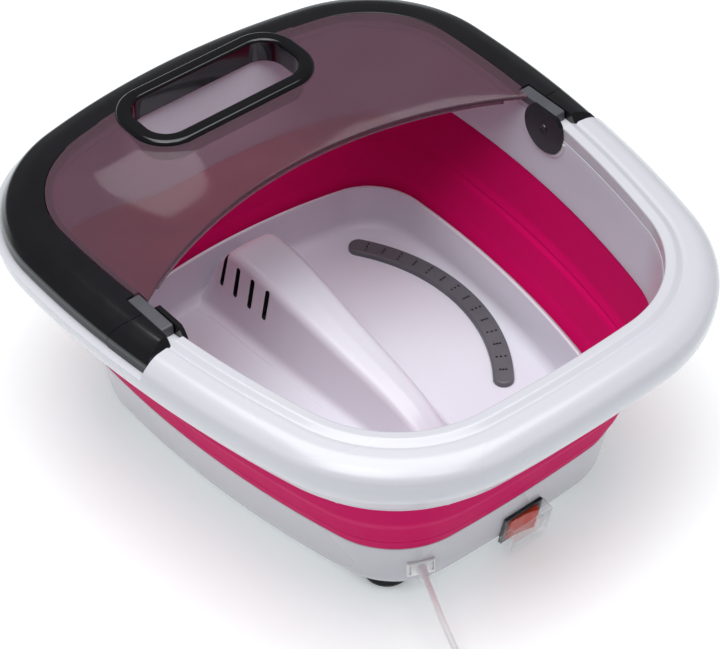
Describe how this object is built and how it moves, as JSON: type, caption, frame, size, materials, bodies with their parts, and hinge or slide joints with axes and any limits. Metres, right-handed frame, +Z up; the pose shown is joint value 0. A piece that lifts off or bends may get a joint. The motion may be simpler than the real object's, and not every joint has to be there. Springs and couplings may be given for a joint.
{
  "type": "folding foot spa",
  "caption": "Folding foot spa basin with rigid base tub, soft folding wall, rigid rim, hinged splash guard with carry handle, air bubbler, heater, rocker switch and mains cord.",
  "frame": {"origin": "on the floor, under the middle of the rim's plan outline", "axes": "+Z up, -Y towards the user and the power switch, +Y towards the carry handle, +X to the user's right when facing the basin"},
  "size_m": [0.3822, 0.5022, 0.19],
  "materials": {
    "white_shell": "gloss",
    "white_tub": "gloss",
    "white_under": "satin",
    "foot_rubber": "matte",
    "screw_steel": "bright zinc",
    "strip_plastic": "satin",
    "pump_grey": "moulded",
    "pump_head": "moulded",
    "grommet_rubber": "matte",
    "clear_fitting": "natural",
    "hose_vinyl": "vinyl",
    "heater_aluminium": "satin",
    "cutout_phenolic": "phenolic",
    "circuit_board": "lacquered",
    "wire_insulation": "insulated",
    "cord_white": "satin",
    "clamp_plastic": "satin",
    "switch_black": "satin",
    "brass_blade": "bright",
    "rocker_red": "gloss",
    "pin_steel": "ground",
    "cap_clear": "clear",
    "wall_magenta": "soft gloss",
    "plug_white": "gloss",
    "pin_brass": "bright",
    "tie_black": "matte",
    "guard_black": "high gloss",
    "window_smoked": "smoked",
    "handle_black": "high gloss",
    "link_grey": "satin"
  },
  "bodies": {
    "base": {"base_shell": "white_shell", "tub_basin": "white_tub", "bottom_cover": "white_under", "foot_front_left": "foot_rubber", "foot_front_right": "foot_rubber", "foot_rear_left": "foot_rubber", "foot_rear_right": "foot_rubber", "cover_screws": "screw_steel", "bubble_strip_left": "strip_plastic", "bubble_strip_right": "strip_plastic", "air_pump_body": "pump_grey", "air_pump_head": "pump_head", "pump_grommets": "grommet_rubber", "air_manifold": "clear_fitting", "air_hose_left": "hose_vinyl", "air_hose_right": "hose_vinyl", "heater_plate": "heater_aluminium", "thermal_cutout": "cutout_phenolic", "terminal_board": "circuit_board", "internal_wires": "wire_insulation", "cord_gland": "cord_white", "cord_clamp": "clamp_plastic", "switch_bezel": "switch_black", "switch_body": "switch_black", "switch_terminals": "brass_blade", "rocker_pin": "pin_steel", "splash_cap": "cap_clear", "folding_wall": "wall_magenta", "power_cord": "cord_white", "cord_coil": "cord_white", "cord_tail": "cord_white", "plug_body": "plug_white", "plug_pins": "pin_brass", "cord_tie": "tie_black"},
    "rim": {"rim_shell": "white_shell", "rim_liner": "white_shell", "rim_screws": "screw_steel", "hinge_block_left": "guard_black", "hinge_block_right": "guard_black", "hinge_pin_left": "pin_steel", "hinge_pin_right": "pin_steel"},
    "guard": {"lid_frame": "guard_black", "lid_window": "window_smoked", "handle_ring": "handle_black", "hinge_link_left": "link_grey", "hinge_link_right": "link_grey"},
    "rocker": {"switch_rocker": "rocker_red"}
  },
  "joints": [
    {"name": "rim_slide", "type": "slide", "parent": "base", "child": "rim", "axis": [0, 0, 1], "range_m": [-0.08, 0], "deforming": ["folding_wall"]},
    {"name": "guard_hinge", "type": "hinge", "parent": "rim", "child": "guard", "pos_m": [0, -0.002, 0.171], "axis": [1, 0, 0], "range_deg": [0, 95]},
    {"name": "rocker_pivot", "type": "hinge", "parent": "base", "child": "rocker", "pos_m": [0.004, -0.14725, 0.02276], "axis": [0, -0.1832, 0.9831], "range_deg": [0, 16]}
  ]
}
